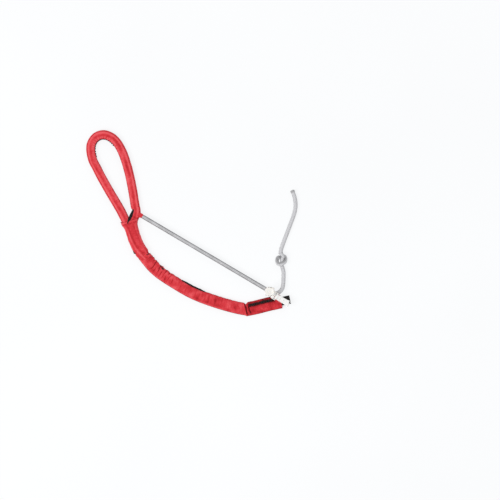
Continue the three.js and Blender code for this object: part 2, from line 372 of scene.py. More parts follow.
def scaled(tree, value, by):
    """A value times a number or another value."""
    return node(tree, "ShaderNodeMath", {0: value, 1: by}, operation="MULTIPLY").outputs[0]


def summed(tree, *values):
    total = values[0]
    for value in values[1:]:
        total = node(tree, "ShaderNodeMath", {0: total, 1: value}, operation="ADD").outputs[0]
    return total


HELD_SHARE = 0.75  # how strongly a mesh's own shades, mostly painted shade and light, darken or lighten its colour
CLOTH_SHEEN_ROUGHNESS = 0.45
ROUGHNESS_SPREAD = 0.08


def fabric_material(
    name, colours, twill, weave, depth, roughness, sheen, patch=90.0, tint=(1.0, 1.0, 1.0)
):
    """Cloth or cord: patchy dye, flecked fibres, a raised weave and the mesh's painted shade and light.
    twill and weave are (round, along) rates."""
    material, tree, shader = new_material(name)
    place = node(tree, "ShaderNodeTexCoord").outputs["Object"]
    woven = node(tree, "ShaderNodeTexCoord").outputs["UV"]
    broad = noise_of(tree, place, patch, 6.0, 0.65)
    fine = noise_of(tree, place, patch * 25, 3.0)
    rib = wave_of(tree, woven, *twill)
    crossing = scaled(tree, wave_of(tree, woven, weave[0], 0.0), wave_of(tree, woven, 0.0, weave[1]))
    tone = summed(
        tree, scaled(tree, broad, 0.6), 0.2, scaled(tree, fine, 0.35), scaled(tree, rib, 0.04),
        scaled(tree, crossing, 0.02), scaled(tree, held_shade(tree), HELD_SHARE),
    )
    # The lowest stop, darker than the dark tone, is for the deepest painted shade.
    stops = list(zip((0.12, 0.40, 0.66, 0.92), (tuple(0.3 * c for c in colours[0]), *colours)))
    height = summed(tree, scaled(tree, rib, 0.6), scaled(tree, crossing, 0.35), scaled(tree, fine, 0.8))
    fill(tree, shader, {
        "Base Color": colour_ramp(tree, tone, stops),
        "Normal": bump_of(tree, height, depth, 0.0001),
        "Roughness": between(tree, fine, roughness - ROUGHNESS_SPREAD, roughness + ROUGHNESS_SPREAD),
        "Sheen Weight": sheen,
        "Sheen Roughness": CLOTH_SHEEN_ROUGHNESS,
        "Sheen Tint": (*tint, 1),
        "Specular IOR Level": 0.2,
    })
    return material


def plastic_material(name, low, high, roughness, scatter):
    """A moulding, slightly cloudy and scuffed, that lets a little light in."""
    material, tree, shader = new_material(name)
    place = node(tree, "ShaderNodeTexCoord").outputs["Object"]
    cloud = noise_of(tree, place, 180.0, 4.0)
    scuff = noise_of(tree, place, 1400.0, 6.0, 0.7)
    # The mesh's painted shade darkens the moulding; the lowest stop is a brownish painted-shade tone for the
    # deepest of it.
    tone = summed(tree, cloud, scaled(tree, held_shade(tree), 0.5))
    stops = [(0.0, tuple(c * k for c, k in zip(low, (0.42, 0.39, 0.36)))), (0.35, low), (0.65, high)]
    fill(tree, shader, {
        "Base Color": colour_ramp(tree, tone, stops),
        "Roughness": between(tree, scuff, roughness - 0.1, roughness + 0.12),
        "Normal": bump_of(tree, scuff, 0.25, 0.00004),
        "Subsurface Weight": scatter,
        "Subsurface Scale": 0.001,
        "Subsurface Radius": (1.0, 0.85, 0.7),
    })
    return material


def steel_material(name):
    material, tree, shader = new_material(name)
    place = node(tree, "ShaderNodeTexCoord").outputs["Object"]
    drawn = noise_of(tree, place, 2600.0)
    fill(tree, shader, {
        "Roughness": between(tree, drawn, 0.22, 0.42),
        "Base Color": (0.62, 0.63, 0.65, 1),
        "Metallic": 1.0,
    })
    return material


def make_materials():
    # Each triple runs from a shaded tone to a lit one; besides the dye's own patches, the ramps use them for
    # painted shade and painted light.
    red = ((0.42, 0.012, 0.018), (0.66, 0.034, 0.046), (0.82, 0.105, 0.120))
    red_yarn = ((0.36, 0.012, 0.016), (0.52, 0.026, 0.034), (0.66, 0.06, 0.07))
    web = ((0.006, 0.005, 0.005), (0.012, 0.010, 0.010), (0.03, 0.026, 0.026))
    yarn = ((0.006, 0.005, 0.005), (0.015, 0.012, 0.012), (0.05, 0.04, 0.036))
    grey = ((0.24, 0.24, 0.25), (0.44, 0.44, 0.45), (0.62, 0.62, 0.64))
    sealed = ((0.26, 0.26, 0.27), (0.38, 0.38, 0.39), (0.52, 0.52, 0.53))
    white = ((0.86, 0.855, 0.84), (0.93, 0.925, 0.91), (0.97, 0.97, 0.96))
    return {
        "red_sleeve": fabric_material(
            "red_cloth", red, (22, 0.85), (60, 2.4), 0.5, 0.85, 0.16, 110, (1, 0.55, 0.55)
        ),
        "black_webbing": fabric_material("black_web", web, (12, 0.66), (26, 1.3), 0.9, 0.8, 0.06),
        "black_thread": fabric_material("black_yarn", yarn, (2, 2.0), (6, 4.0), 0.6, 0.65, 0.08),
        "red_thread": fabric_material("red_yarn", red_yarn, (2, 2.0), (6, 4.0), 0.6, 0.75, 0.15),
        "grey_cord": fabric_material("grey_braid", grey, (8, 0.95), (24, 2.6), 0.6, 0.72, 0.08, 160),
        "tip_grey": fabric_material("sealed_grey", sealed, (4, 0.7), (8, 1.2), 0.4, 0.5, 0.0, 240),
        "white_tape": fabric_material("white_weave", white, (0, 0.9), (26, 1.8), 0.7, 0.85, 0.08),
        "cream_plastic": plastic_material(
            "cream_moulding", (0.86, 0.835, 0.80), (0.93, 0.915, 0.885), 0.4, 0.12
        ),
        "spring_steel": steel_material("spring_wire"),
    }


materials = {}


def finish_piece(piece, slot, body=None, replaced=(), look=None):
    """Gives a piece the material named by its slot or by look, puts it on its body, and hides the CAD nodes
    that it stands for.
    """
    piece.data.materials.clear()
    piece.data.materials.append(materials[look or slot])
    if body:
        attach(piece, body)
    if replaced:
        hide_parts(*replaced)
    return piece


# ---- camera, floor and light ----
VIEW_CENTRE = (61.75, -26.75)
VIEW_WIDE = 500.0
VIEW_FROM = 2200.0
SENSOR = 36.0
VIEW_REACH = 20.0
FLOOR_HALF = 6.0
FLOOR_Z = -0.0002
FLOOR_GLOW = 0.83
SKY = 0.58
# name, place in metres, size in metres, watts
LAMPS = (
    ("key", (-0.8, -0.35, 1.3), 0.8, 12.0),
    ("fill", (0.7, 0.9, 1.3), 1.2, 4.0),
)


def make_camera():
    data = bpy.data.cameras.new("camera")
    data.sensor_width = SENSOR
    data.lens = SENSOR * VIEW_FROM / VIEW_WIDE
    data.clip_end = VIEW_REACH
    camera = bpy.data.objects.new("camera", data)
    camera.location = (VIEW_CENTRE[0] * MM, VIEW_CENTRE[1] * MM, VIEW_FROM * MM)
    bpy.context.scene.collection.objects.link(camera)
    bpy.context.scene.camera = camera


def make_floor():
    corners = ((-1, -1), (1, -1), (1, 1), (-1, 1))
    verts = [Vector((x * FLOOR_HALF, y * FLOOR_HALF, FLOOR_Z)) for x, y in corners]
    floor = mesh_object("floor", verts, [(0, 1, 2, 3)], smooth=False)
    material, tree, shader = new_material("bright_floor")
    place = node(tree, "ShaderNodeTexCoord").outputs["Object"]
    stops = [(0.3, (0.15, 0.151, 0.153)), (0.7, (0.17, 0.171, 0.173))]
    fill(tree, shader, {
        "Base Color": colour_ramp(tree, noise_of(tree, place, 3.0), stops),
        "Roughness": 0.9,
        "Specular IOR Level": 0.0,
        "Emission Color": (0.98, 0.99, 1.0, 1),
        "Emission Strength": FLOOR_GLOW,
    })
    floor.data.materials.append(material)


def make_lights():
    scene = bpy.context.scene
    scene.view_settings.view_transform = "Standard"
    scene.world = bpy.data.worlds.new("studio")
    scene.world.use_nodes = True
    sky = scene.world.node_tree.nodes["Background"]
    sky.inputs["Color"].default_value = (1.0, 1.0, 1.0, 1)
    sky.inputs["Strength"].default_value = SKY
    for name, place, size, watts in LAMPS:
        data = bpy.data.lights.new(name, "AREA")
        data.size = size
        data.energy = watts
        light = bpy.data.objects.new(name, data)
        light.location = place
        light.rotation_euler = (Vector((0, 0, 0)) - Vector(place)).to_track_quat("-Z", "Y").to_euler()
        scene.collection.objects.link(light)


# ---- cords ----
CARRIERS = 8
BRAID_PITCH = 5.2
BRAID_RELIEF = 0.13
# The stretch of the pull cord, round its bend, over which its grey turns lighter.
LIGHTER_FROM = 148
LIGHTER_TO = 162
SIDE_SHADE_AT = 0.72  # the painted side shade's place, as a share of the way from the cord's middle to its edge


def braid_ring(wide):
    """A braided sheath: two sets of strands that wind opposite ways and pass over each other."""

    def ring(i, s, turn):
        climb = math.tau * s / (BRAID_PITCH * MM)
        left = abs(math.cos(CARRIERS * turn / 2 + climb))
        right = abs(math.cos(CARRIERS * turn / 2 - climb))
        over = max(left, right) ** 1.5 - 0.75
        radius = (wide / 2 + BRAID_RELIEF * over) * MM
        return on_circle(radius, turn)

    return ring


def cord_shade(light_from, light_to):
    """Painted shade in two dark lines along a cord's sides, and a lightening of the cord between two lengths
    in mm.
    """

    def shade(s, turn):
        side_shade = dent(abs(math.cos(turn)), SIDE_SHADE_AT, 0.16)
        return 0.55 * soft_step(light_from, light_to, s) - 0.6 * side_shade + 0.15

    return shade


tail_shade = cord_shade(-1, 0)


def knot_shade(s, turn):
    """The tail's, with painted shade on the cord's sides where the knot's turns press on each other."""
    return tail_shade(s, turn) - 0.85 * soft_step(0.72, 0.97, abs(math.cos(turn)))


def make_cords():
    path = smooth_route(CORD_ROUTE, 0.45)
    shade = cord_shade(LIGHTER_FROM, LIGHTER_TO)
    cord = tube("pull_cord", path, braid_ring(CORD_WIDE), around=32, shade=shade)
    finish_piece(cord, "grey_cord", replaced=("cord_run", "cord_tail"))
    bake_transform(cord)

    knot_points = [(KNOT_AT[0] + KNOT_SQUEEZE * x, KNOT_AT[1] + y, z) for x, y, z in KNOT_ROUTE]
    knot_path = smooth_route(knot_points, 0.4)
    knot = tube(
        "stopper_knot_loops", knot_path, braid_ring(KNOT_CORD_WIDE), carried_frames(knot_path),
        around=32, shade=knot_shade,
    )
    finish_piece(knot, "grey_cord", "tail", ("stopper_knot",))

    end_path = smooth_route(TAIL_END_ROUTE, 0.45)
    tail_end = tube("cord_tail_end", end_path, braid_ring(CORD_WIDE), around=32, shade=tail_shade)
    finish_piece(tail_end, "grey_cord", "tail", ("cord_end",))

    tip = make_tip(end_path)
    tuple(path[0])
    route_length(path)
    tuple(end_path[0])
    route_length(end_path)


# How far past the end of the cord each of the tip's rings is, and its radius.
TIP_RINGS = (
    (-1.4, 2.0), (-1.0, 2.2), (-0.5, 2.2), (0.0, 2.16), (0.5, 2.05), (0.9, 1.75), (1.15, 1.1),
)


def make_tip(end_path):
    """The heat-sealed cut: a short glazed cap with a notch, over the last of the cord."""
    way = (end_path[-1] - end_path[-6]).normalized()
    points = [end_path[-1] + way * (past * MM) for past, _ in TIP_RINGS]

    def ring(i, s, turn):
        bump = 1 + 0.05 * grain(2 * math.cos(turn), 2 * math.sin(turn), s * 900)
        notch = 1 - 0.35 * soft_step(3, 6, i) * math.exp(-((turn - math.pi / 2) ** 2) / 0.4)
        return on_circle(TIP_RINGS[i][1] * MM * bump * notch, turn)

    tip = tube("cord_sealed_tip", points, ring, around=28)
    return finish_piece(tip, "grey_cord", "tail", ("cord_tip",), "tip_grey")


# ---- sleeves ----
CLOTH_LOW = 0.05  # the least height of the cloth's outside above the surface
LOOP_HIGH = 3.0
THROAT_HIGH = 3.6
HEM_HIGH = 7.15
CORE_HIGH = 2.2
LOOP_SEAM = slice(14, -26)  # the loop's points that its outer seam follows
GATHERS_BEFORE = 58  # points before and past the loop's middle that its inner stitches follow
GATHERS_PAST = 34


def flattened(turn, wide, thick, square=2.6):
    """A soft flattened tube's outline, lying on its flat side."""
    power = 2 / square
    across = math.copysign(abs(math.cos(turn)) ** power, math.cos(turn)) * wide / 2
    high = math.copysign(abs(math.sin(turn)) ** power, math.sin(turn)) * thick / 2
    return across, high


def sleeve(name, points, shape, frames=None, skew=None, around=48, wall=0.7, lip=3.0):
    """A cloth tube with turned-in mouths. shape(s, total, turn) gives (side, up, shade), the first two in mm
    and the shade mostly painted light and shade.
    skew(s, total) is the slope that slides each ring's left edge along the route."""
    frames = frames or flat_frames(points)
    ways = tangents(points)
    lengths = [length / MM for length in lengths_along(points)]
    total = lengths[-1]
    inner = max(2, round(lip / (total / (len(points) - 1))))
    order = [(i, True) for i in range(inner, 0, -1)]
    order += [(i, False) for i in range(len(points))]
    order += [(len(points) - 1 - i, True) for i in range(1, inner + 1)]
    rings = []
    uvs = []
    shades = []
    for i, inside in order:
        side, up = frames[i]
        slope = skew(lengths[i], total) if skew else 0.0
        row = []
        for k in range(around):
            turn = math.tau * k / around
            across, high, shade = shape(lengths[i], total, turn)
            # Painted shade: the turned-in lining is darker, and so is the cloth towards its underside.
            shades.append(shade - (0.6 if inside else 0.3 * soft_step(0.5, -0.3, math.sin(turn))))
            slid = slope * across
            if inside:
                across -= wall * math.cos(turn)
                high -= wall * math.sin(turn)
            spot = points[i] + side * (across * MM) + up * (high * MM) + ways[i] * (slid * MM)
            spot.z = max(spot.z, (CLOTH_LOW + wall * inside) * MM)
            row.append(spot)
            uvs.append((k / around, lengths[i]))
        rings.append(row)
    verts, faces = skin_rings(rings)
    piece = mesh_object(name, verts, faces, uvs, shades=shades)
    outward(piece)
    return piece


def raised(points, height):
    return [Vector((p.x, p.y, height * MM)) for p in points]


LOOP_LEFT_END = [(-60.9, -2.0), (-62.3, 2.4)]
LOOP_RIGHT_END = [(-53.2, 7.0), (-55.6, 1.4), (-56.2, -2.2)]


def dent(x, middle, width):
    return math.exp(-(((x - middle) / width) ** 2))


def loop_shape(s, total, turn):
    c = math.cos(turn)
    wide = 8.9 - 0.5 * (1 - soft_step(0, 12, s))
    across, high = flattened(turn, wide, 6.0)
    top = max(0.0, math.sin(turn))
    crease = 0.3 * grain(s * 0.3, 3.0 * c, 4.1) + 0.2 * grain(s * 1.0, 2 * turn, 8.0)
    wander = 0.05 + 0.22 * grain(s * 0.05, 1.0, 1.0)
    middle_fold = dent(c, wander, 0.2) * (0.6 + 0.5 * grain(s * 0.07, 5.0, 2.0))
    outer_seam = dent(c, 0.72, 0.09)
    bend = dent(s, total * 0.5, 20)
    gather = bend * math.sin(s * 2.1 + 2.4 * grain(s * 0.3, 0, 0)) * soft_step(0.1, -0.9, c)
    from_foot = total - s
    fold = dent(from_foot, 8.6, 0.8) * 0.6 + dent(from_foot, 6.0, 0.6) * 0.35
    fold *= 0.55 + 0.45 * c
    high += top * (crease - 0.5 * middle_fold - 0.6 * outer_seam + 0.25 * gather - fold)
    across += math.copysign(0.18 * grain(s * 0.21, 9.0, 2.0) + 0.3 * crease, c) + 0.36 * gather
    across += 0.9 * dent(from_foot, 11.6, 1.6) * max(0.0, c)
    slit = soft_step(19.0, 16.0, from_foot) * soft_step(2.0, 5.0, from_foot)
    across += 1.3 * slit * max(0.0, -c) ** 2
    # Painted light and shade: lighter on raised creases, gathers and two bands beside the middle fold; darker
    # in the middle fold, the seam groove, the folds by the foot and along both edges. The 0.12 lightens the
    # whole loop.
    shade = 0.12 + 0.5 * crease - 0.5 * middle_fold - 0.4 * outer_seam - 0.9 * fold + 0.4 * gather
    shade += 0.3 * dent(c, 0.35, 0.3) + 0.15 * dent(c, -0.55, 0.2)
    shade -= 0.35 * soft_step(-0.8, -0.95, c) + 0.3 * soft_step(0.86, 0.97, c)
    return across, high, shade


def loop_line():
    return raised(smooth_route(LOOP_LEFT_END + LOOP_ROUTE + LOOP_RIGHT_END, 0.55), LOOP_HIGH)


def make_loop():
    points = loop_line()
    cover = sleeve("loop_cloth", points, loop_shape)
    finish_piece(cover, "red_sleeve", replaced=("loop_sleeve",))
    blend_throat(cover)

    seam = stitch_row("loop_seam_stitches", points[LOOP_SEAM], 3.05, 2.2, 2.3, 1.5, 0.17)
    finish_piece(seam, "red_sleeve", look="red_thread")
    blend_throat(seam)

    middle = len(points) // 2
    inner = points[middle - GATHERS_BEFORE : middle + GATHERS_PAST]
    gathers = stitch_row("loop_inner_stitches", inner, -4.6, 0.9, 2.9, 1.6, 0.5)
    finish_piece(gathers, "black_thread")
    blend_throat(gathers)


def blend_throat(piece):
    across = Vector(joints["loop_fold"]["axis"])
    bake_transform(piece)


def stitch_row(name, points, offset, height, pitch, length, radius):
    """Short threads along a route, offset to its side, that dip into the cloth at each end."""
    frames = flat_frames(points)
    ways = tangents(points)
    threads = []
    travelled = 0.0
    due = pitch
    for i in range(1, len(points)):
        travelled += (points[i] - points[i - 1]).length / MM
        if travelled >= due:
            side, up = frames[i]
            middle = points[i] + side * (offset * MM) + up * (height * MM)
            half = ways[i] * (length * MM / 2)
            threads.append(thread_between(middle - half, middle + half, radius * MM))
            due += pitch
    return joined(name, threads)


def throat_shape(s, total, turn):
    c = math.cos(turn)
    tuck = soft_step(total - 9, total - 3, s)
    wide = 16.2 - 2.9 * soft_step(0.5, 9, s) - 2.5 * tuck
    thick = 7.6 - 0.8 * soft_step(1.5, 6, s) - 1.9 * tuck
    across, high = flattened(turn, wide, thick)
    hem = dent(s, 0.9, 0.7) - 0.9 * dent(s, 2.8, 0.45)
    top = max(0.0, math.sin(turn))
    drift = 0.012 * s
    ridge = 0.7 * dent(c, -0.66 + drift, 0.12) - 0.7 * dent(c, -0.4 + drift, 0.1)
    ridge -= 0.55 * dent(c, 0.28 + drift, 0.1)
    ridge += 0.4 * dent(c, 0.6, 0.14)
    long_fold = 0.5 * grain(2.4 * c + 0.06 * s, s * 0.05, 1.0)
    small = 0.2 * grain(s * 0.55, 3 * c, 7.0)
    inside = soft_step(2.0, 7.0, s) * (0.7 + 0.5 * grain(s * 0.15, 2.0, 9.0))
    relief = inside * (ridge + long_fold) + small
    high += top * relief + 0.3 * hem * math.sin(turn)
    bumps = 0.6 * dent(s, 0.4, 0.7) + 0.4 * dent(s, 3.2, 0.8)
    across += (0.2 * hem + bumps + 0.25 * grain(s * 0.3, 3.0, 1.0)) * c
    # Painted light and shade: lighter on the ridges and the hem, darker in the folds between, and a painted
    # highlight near each edge.
    shade = 0.62 * relief + 0.25 * hem + 0.2 * dent(abs(c), 0.88, 0.08)
    return across, high, shade


def make_throat():
    points = raised(smooth_route(THROAT_ROUTE, 0.5), THROAT_HIGH)
    cover = sleeve("throat_cloth", points, throat_shape)
    finish_piece(cover, "red_sleeve", "handle", ("throat_sleeve", "throat_cuff"))
    hem = raised(smooth_route([(-65.0, -1.6), (-58.1, -0.9), (-50.6, 2.3)], 0.4), HEM_HIGH)
    stitches = stitch_row("hem_stitches", hem, 0.0, 0.0, 2.1, 1.4, 0.16)
    finish_piece(stitches, "red_sleeve", "handle", look="red_thread")


def stem_shape(s, total, turn):
    c = math.cos(turn)
    wide = 12.3 - 0.5 * (1 - soft_step(0, 6, s)) + 0.5 * (1 - soft_step(20, 34, s))
    thick = 6.0 + 1.0 * (1 - soft_step(0, 4, s)) - 1.2 * soft_step(total - 14, total, s)
    across, high = flattened(turn, wide, thick)
    strength = soft_step(2, 6, s) * (1.0 - 0.78 * soft_step(33, 47, s))
    lean = grain(s * 0.10, 1.1 * c, 3.0)
    wave = math.sin(s * 0.92 + 2.2 * lean + 0.5 * c)
    valley = max(0.0, 1 - 2.2 * abs(wave))
    reach = soft_step(-0.3, 0.2, grain(s * 0.33, 1.1 * c, 11.0)) * soft_step(-0.75, -0.1, c)
    pucker = valley * reach
    small = 0.16 * grain(s * 1.1, 1.4 * c, 5.0) + 0.1 * grain(s * 2.3, 2.0 * c, 6.0)
    spots = dent(s, 81.5, 1.1) * dent(c, 0.25, 0.3) + dent(s, 89.0, 1.0) * dent(c, 0.1, 0.35)
    spots += 0.8 * dent(s, 71.0, 0.9) * dent(c, -0.3, 0.3)
    soft = 0.34 * grain(s * 0.16, 1.4 * c, 17.0)
    top = max(0.0, math.sin(turn))
    high += top * (strength * (small - 1.0 * pucker) + 0.6 * small - 0.3 * spots + soft)
    edge = max(0.0, c) ** 3
    scallop = 0.75 * strength * (abs(math.sin(s * 0.45 + 1.2 * grain(s * 0.1, 0, 4.0))) - 0.5)
    across += edge * (scallop - 0.5 * strength * valley)
    across += math.copysign(0.18 * grain(s * 0.5, 4.0 * c, 2.0) * abs(c) ** 3, c)
    across += 1.0 * (1 - soft_step(0, 6, s)) * max(0.0, -c) ** 3
    gape = soft_step(GAPE_FROM - 1, GAPE_FROM + 1.5, s)
    gape *= soft_step(GAPE_FROM + GAPE_LONG + 1, GAPE_FROM + GAPE_LONG - 1.5, s)
    across -= 0.7 * gape * edge
    # Painted light and shade: lighter on raised bulges, darker in the pucker valleys and along both edges,
    # most along the lower one, with a painted highlight band just inside the lower edge. The spots are darker
    # too.
    shade = 0.9 * soft + (0.5 + 0.6 * strength) * small - 0.95 * strength * pucker - 0.35 * spots
    shade += 0.2 * dent(c, -0.8, 0.1) - 0.25 * soft_step(0.85, 0.97, c) - 0.7 * soft_step(-0.9, -0.98, c)
    return across, high, shade


def root_shape(s, total, turn):
    c = math.cos(turn)
    across, high = flattened(turn, 12.5 + 1.4 * soft_step(0, 3, s), 4.8 - 0.4 * soft_step(0, 5, s), 3.0)
    top = max(0.0, math.sin(turn))
    tick = dent(s + 1.9 * c, 3.1, 0.5) * soft_step(-0.75, -0.35, c) * soft_step(0.45, 0.2, c)
    soft = 0.4 * grain(s * 0.18, 1.6 * c, 21.0) + 0.2 * grain(s * 0.9, 3 * c, 9.0)
    window = soft_step(WINDOW_FROM - 0.6, WINDOW_FROM + 0.3, s)
    window *= soft_step(WINDOW_FROM + WINDOW_LONG + 1, WINDOW_FROM + WINDOW_LONG, s)
    lips = 0.35 * dent(across, WINDOW_OFFSET + 2.3, 0.5) + 0.3 * dent(across, WINDOW_OFFSET - 2.2, 0.45)
    well = dent(across, WINDOW_OFFSET, 1.5)
    high += top * (soft * (1 - 0.8 * window * well) + window * (lips - 0.5 * well) - 0.8 * tick)
    # Painted light and shade: lighter on raised bulges, darker in the tick fold, the window's sunken well,
    # the window's upper side and along the lower edge. The 0.16 darkens the whole root.
    shade = 0.8 * soft - 0.16 - 0.65 * tick - 0.75 * window * well - 0.3 * window * soft_step(0.5, 0.8, c)
    shade -= 0.35 * soft_step(-0.8, -0.95, c)
    across += 0.2 * grain(s * 0.3, c, 14.0) * c
    return across, high, shade


def strap_shape(s, total, turn):
    c = math.cos(turn)
    if s < CREASE_AT:
        across, high, shade = stem_shape(s, CREASE_AT, turn)
    else:
        across, high, shade = root_shape(s - CREASE_AT, total - CREASE_AT, turn)
    away = s - CREASE_AT + 2.0 * c
    pinch = dent(away, 0.0, 0.62) * (0.75 + 0.35 * c)
    puff = 0.4 * dent(away, 1.6, 0.8) + 0.45 * dent(away, -1.4, 0.7)
    high += max(0.0, math.sin(turn)) * (puff - 1.5 * pinch)
    nip = 1.1 * dent(s, CREASE_AT - 0.6, 1.0) * max(0.0, c)
    across += 0.5 * dent(s, CREASE_AT + 0.8, 1.0) * min(0.0, c) - nip
    # Painted shade in the crease's pinch, and painted light on the puffs either side of it.
    return across, high, shade - 0.95 * pinch + 0.3 * puff


MITRE_SPAN = 6  # points from the corner to where the strap's own directions are read


def mitred_frames(points, corner, reach=5.0):
    """Flat frames whose sides turn to a mitre where the route has its corner, at a distance in mm."""
    frames = flat_frames(points)
    near = [abs(length / MM - corner) for length in lengths_along(points)]
    at = near.index(min(near))
    before = frames[at - MITRE_SPAN][0]
    after = frames[at + MITRE_SPAN][0]
    middle = (before + after).normalized()
    middle /= middle.dot(before)
    mitred = []
    for (side, up), far in zip(frames, near):
        mitred.append((side.lerp(middle, 1 - soft_step(0, reach, far)), up))
    return mitred


def strap_height(s):
    return 2.9 - 0.55 * soft_step(CREASE_AT - 14, CREASE_AT, s)


def strap_line():
    flat = smooth_route(STEM_ROUTE, 0.45) + smooth_route(ROOT_ROUTE, 0.45)[1:]
    heights = [strap_height(length / MM) * MM for length in lengths_along(flat)]
    return [Vector((point.x, point.y, high)) for point, high in zip(flat, heights)]


CREASE_AT = route_length(smooth_route(STEM_ROUTE, 0.45)) / MM
ROOT_LONG = route_length(smooth_route(ROOT_ROUTE, 0.45)) / MM


def seam_skew(s, total):
    """The strap's near end is cut at a slant, along its seam with the throat."""
    return 0.78 * (1 - soft_step(0, 13, s))


def make_strap():
    points = strap_line()
    strap = sleeve(
        "strap_cloth", points, strap_shape, mitred_frames(points, CREASE_AT), around=64,
        skew=seam_skew,
    )
    finish_piece(strap, "red_sleeve", "handle", ("stem_sleeve", "root_sleeve"))
    return points


# ---- webbing ----
WEFT_RIB = 0.06
WEFT_PITCH = 1.5


def web_ring(wide, thick):
    """A flat woven band's outline, with the small ribs of its weft on both faces."""

    def ring(i, s, turn):
        across, high = flattened(turn, wide, thick, 7.0)
        high += WEFT_RIB * math.sin(math.tau * s / (WEFT_PITCH * MM)) * math.sin(turn)
        return across * MM, high * MM

    return ring


def make_webbing():
    core_points = smooth_route(CORE_ROUTE, 0.4)
    core = tube("strap_webbing", raised(core_points, CORE_HIGH), web_ring(8.6, 1.5), around=36)
    finish_piece(core, "black_webbing", "handle", ("strap_core",))

    loop_points = raised(smooth_route(LOOP_ROUTE, 0.6), LOOP_HIGH)
    loop = tube("loop_webbing", loop_points, web_ring(5.6, 1.6), around=32)
    finish_piece(loop, "black_webbing", replaced=("loop_core",))
    blend_throat(loop)

    slit_points = smooth_route(SLIT_ROUTE, 0.35)
    total = route_length(slit_points)

    def slit_ring(i, s, turn):
        share = s / total
        wide = 1.2 + 2.0 * math.sin(math.pi * min(1.0, share * 0.72 + 0.12))
        across, high = flattened(turn, wide, 3.2, 4.0)
        ragged = 0.18 * grain(s * 1400, 2 * math.cos(turn), 3.0)
        return (across + ragged) * MM, (high + ragged) * MM

    slit = tube("slit_webbing", slit_points, slit_ring, around=24)
    finish_piece(slit, "black_webbing")
    blend_throat(slit)


# ---- sewing ----
def strap_point(points, frames, at, offset, height):
    """The place at a distance in mm along a route, off to its side and up from the ground."""
    travelled = 0.0
    for i in range(1, len(points)):
        step = (points[i] - points[i - 1]).length / MM
        if travelled + step >= at or i == len(points) - 1:
            spot = points[i - 1].lerp(points[i], (at - travelled) / step)
            side = frames[i][0]
            return Vector((spot.x, spot.y, 0)) + side * (offset * MM) + UP * (height * MM)
        travelled += step


def thread_between(a, b, radius, sag=0.0, around=8):
    """A thread with narrowed ends that bows upwards by sag between them."""
    way = b - a
    stops = (0.0, 0.05, 0.15, 0.3, 0.5, 0.7, 0.85, 0.95, 1.0)
    swell = (0.35, 0.75, 0.95, 1.0, 1.0, 1.0, 0.95, 0.75, 0.35)
    points = [a + way * t + UP * (sag * 4 * t * (1 - t)) for t in stops]
    ring = round_ring([radius * share for share in swell])
    return tube("thread", points, ring, carried_frames(points), around)


def fray(name, root, way, count, length, spread, radius, seed):
    """A tuft of loose fibres that leave a raw edge."""
    dice = random.Random(seed)
    side = UP.cross(way).normalized()
    fibres = []
    for _ in range(count):
        start = root + side * (dice.uniform(-spread, spread) * MM) + UP * (dice.uniform(-0.5, 0.5) * MM)
        lean = way + side * dice.uniform(-0.7, 0.7) + UP * dice.uniform(-0.25, 0.35)
        end = start + lean.normalized() * (length * dice.uniform(0.5, 1.0) * MM)
        fibres.append(thread_between(start, end, radius * MM, dice.uniform(-0.2, 0.3) * MM, 6))
    return joined(name, fibres)


STRETCH_STEP = 0.4
WINDOW_HIGH = 4.25
GAPE_OFFSET = 5.9
GAPE_HIGH = 4.1
ZIGZAG_PITCH = 2.45
ZIGZAG_LEAN = 0.42  # the share of the pitch that an upward thread takes
ZIGZAG_TWIN = 0.2  # half the gap between the two threads of each upward pair
ZIGZAG_HIGH = 4.72
EDGE_ROW_HIGH = 4.6
EDGE_ROW_PITCH = 1.9
EDGE_ROW_STITCH = 1.5
TACK_THREADS = 8
TACK_HIGH = 7.45


def strap_stretch(points, frames, start, long, offset, height):
    """Evenly spaced places along a stretch of the strap."""
    spots = [start + i * STRETCH_STEP for i in range(round(long / STRETCH_STEP) + 1)]
    return [strap_point(points, frames, at, offset, height) for at in spots]


def ragged_ring(i, s, turn):
    """The window's webbing, narrow here and there, as if the cloth's ragged edge lay over it."""
    gap = soft_step(-0.1, 0.35, grain(s * 330, 0.0, 4.0))
    across, high = flattened(turn, 0.7 + (WINDOW_TALL - 1.0) * gap, 0.8, 4.0)
    return (across + 0.5 * (1 - gap)) * MM, high * MM


def make_window(points, frames):
    """The webbing in the root's window, a zigzag over it and a straight row along each of its edges."""
    spots = strap_stretch(points, frames, CREASE_AT + WINDOW_FROM, WINDOW_LONG, WINDOW_OFFSET, WINDOW_HIGH)
    window = tube("root_window_webbing", spots, ragged_ring, around=28)
    finish_piece(window, "black_webbing", "handle")

    def at_root(along, offset, height):
        return strap_point(points, frames, CREASE_AT + along, offset, height)

    threads = []
    half = WINDOW_TALL / 2 + 0.1
    lower = WINDOW_OFFSET - half
    upper = WINDOW_OFFSET + half
    for i in range(int((WINDOW_LONG - 1.5) / ZIGZAG_PITCH)):
        left = WINDOW_FROM + 0.9 + i * ZIGZAG_PITCH
        low = at_root(left, lower, ZIGZAG_HIGH)
        high = at_root(left + ZIGZAG_PITCH * ZIGZAG_LEAN, upper, ZIGZAG_HIGH)
        back = at_root(left + ZIGZAG_PITCH, lower, ZIGZAG_HIGH)
        for shift in (-ZIGZAG_TWIN, ZIGZAG_TWIN):
            slide = (back - low).normalized() * (shift * MM)
            threads.append(thread_between(low + slide, high + slide, 0.3 * MM, 0.25 * MM))
        threads.append(thread_between(high, back, 0.15 * MM, 0.2 * MM))
    for offset in (lower, upper):
        along = WINDOW_FROM - 0.4
        while along < WINDOW_FROM + WINDOW_LONG - 1:
            ends = [at_root(along + past, offset, EDGE_ROW_HIGH) for past in (0, EDGE_ROW_STITCH)]
            threads.append(thread_between(*ends, 0.17 * MM, 0.12 * MM))
            along += EDGE_ROW_PITCH
    zigzag = joined("root_zigzag_thread", threads)
    finish_piece(zigzag, "black_thread", "handle", ("root_zigzag",))


